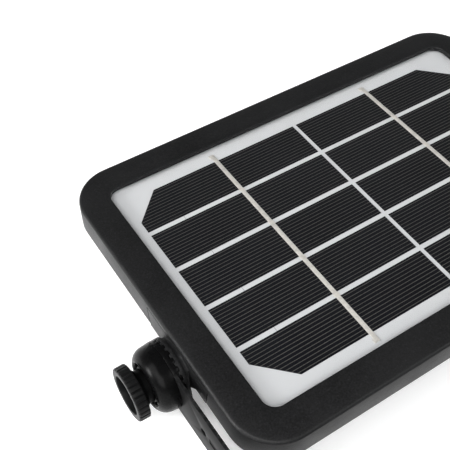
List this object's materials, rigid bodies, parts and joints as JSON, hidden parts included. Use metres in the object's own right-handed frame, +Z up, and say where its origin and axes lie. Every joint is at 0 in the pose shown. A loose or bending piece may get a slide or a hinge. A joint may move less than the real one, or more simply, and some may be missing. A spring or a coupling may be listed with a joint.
{
  "type": "solar flood light",
  "caption": "Flat solar flood light with a panel on its back, a recessed light window, and a U-shaped tilt bracket clamped by fluted side knobs.",
  "frame": {"origin": "centre of the whole part's footprint, on the surface that the light lies on", "axes": "+X along the long side, +Y away from the bracket's cross bar, +Z up out of the solar panel"},
  "size_m": [0.2308, 0.1744, 0.03],
  "materials": {
    "housing_plastic": "black ABS, fine spark-eroded grain",
    "bezel_plastic": "black ABS, fine satin grain",
    "pivot_plastic": "black nylon, satin sheen",
    "washer_steel": "black-oxide spring washers",
    "bracket_paint": "dark grey powder coat on steel strip",
    "zinc_steel": "zinc-plated steel",
    "insert_brass": "knurled brass",
    "seal_rubber": "black silicone",
    "button_rubber": "dark silicone button",
    "panel_white": "white back sheet",
    "cell_silicon": "dark blue-black silicon with thin silver fingers",
    "ribbon_tin": "tinned copper ribbon",
    "panel_film": "clear laminate over the cells",
    "trim_gloss": "gloss black trim",
    "lens_clear": "clear toughened lens",
    "reflector_white": "bright white reflector",
    "board_white": "white solder mask on an aluminium core",
    "led_phosphor": "yellow phosphor over white packages",
    "spreader_aluminium": "plain aluminium",
    "holder_plastic": "black moulded holder",
    "cell_wrap": "green shrink sleeve",
    "board_green": "green solder mask",
    "component_black": "moulded component packages",
    "switch_pin": "ivory switch plunger",
    "indicator_clear": "clear light pipe",
    "wire_red": "red insulated wire",
    "wire_dark": "dark insulated wire"
  },
  "bodies": {
    "housing": {"front_housing": "housing_plastic", "bezel": "bezel_plastic", "body_seal": "seal_rubber", "housing_screws": "zinc_steel", "panel_board": "panel_white", "solar_cells": "cell_silicon", "cell_ribbons": "ribbon_tin", "panel_glazing": "panel_film", "panel_seal": "seal_rubber", "lens_frame": "trim_gloss", "lens_seal": "seal_rubber", "lens": "lens_clear", "reflector": "reflector_white", "led_board": "board_white", "leds": "led_phosphor", "heat_spreader": "spreader_aluminium", "led_board_screws": "zinc_steel", "battery_holder": "holder_plastic", "battery_cells": "cell_wrap", "battery_contacts": "ribbon_tin", "battery_pad": "seal_rubber", "control_board": "board_green", "board_components": "component_black", "board_screws": "zinc_steel", "usb_port": "zinc_steel", "tact_switch": "holder_plastic", "button_collar": "housing_plastic", "indicator_lens": "indicator_clear", "vent_plug": "housing_plastic", "panel_wires": "wire_red", "battery_wires": "wire_red", "led_wires": "wire_dark", "left_pivot_insert": "insert_brass", "right_pivot_insert": "insert_brass"},
    "bracket": {"bracket": "bracket_paint", "left_tooth_ring": "pivot_plastic", "right_tooth_ring": "pivot_plastic", "left_pivot_cap": "pivot_plastic", "right_pivot_cap": "pivot_plastic"},
    "left_washer": {"left_knob_washer": "washer_steel"},
    "left_knob": {"left_knob": "pivot_plastic", "left_knob_bolt": "zinc_steel"},
    "right_washer": {"right_knob_washer": "washer_steel"},
    "right_knob": {"right_knob": "pivot_plastic", "right_knob_bolt": "zinc_steel"},
    "power_button": {"power_button": "button_rubber", "switch_plunger": "switch_pin"},
    "usb_flap": {"usb_flap": "seal_rubber"}
  },
  "joints": [
    {"name": "bracket_tilt", "type": "hinge", "parent": "housing", "child": "bracket", "pos_m": [0, 0.00325, 0.015], "axis": [1, 0, 0], "range_deg": [-180, 180]},
    {"name": "power_button_press", "type": "slide", "parent": "housing", "child": "power_button", "axis": [0, -1, 0], "range_m": [0, 0.0008], "stiffness_N_per_m": 1500, "springref_m": -0.0003},
    {"name": "usb_flap_turn", "type": "hinge", "parent": "housing", "child": "usb_flap", "pos_m": [0.0067, 0.07795, 0.0151], "axis": [0, 0, 1], "range_deg": [0, 120]},
    {"name": "left_knob_travel", "type": "slide", "parent": "housing", "child": "left_washer", "axis": [-1, 0, 0], "range_m": [0, 0.002]},
    {"name": "left_knob_turn", "type": "hinge", "parent": "left_washer", "child": "left_knob", "pos_m": [-0.11, 0.00325, 0.015], "axis": [-1, 0, 0], "range_deg": [0, 720]},
    {"name": "right_knob_travel", "type": "slide", "parent": "housing", "child": "right_washer", "axis": [1, 0, 0], "range_m": [0, 0.002]},
    {"name": "right_knob_turn", "type": "hinge", "parent": "right_washer", "child": "right_knob", "pos_m": [0.11, 0.00325, 0.015], "axis": [1, 0, 0], "range_deg": [0, 720]}
  ],
  "couplings": [
    {"joint": "left_knob_turn", "follows": "left_knob_travel", "rad_per_m": 6283.2},
    {"joint": "right_knob_turn", "follows": "right_knob_travel", "rad_per_m": 6283.2}
  ]
}
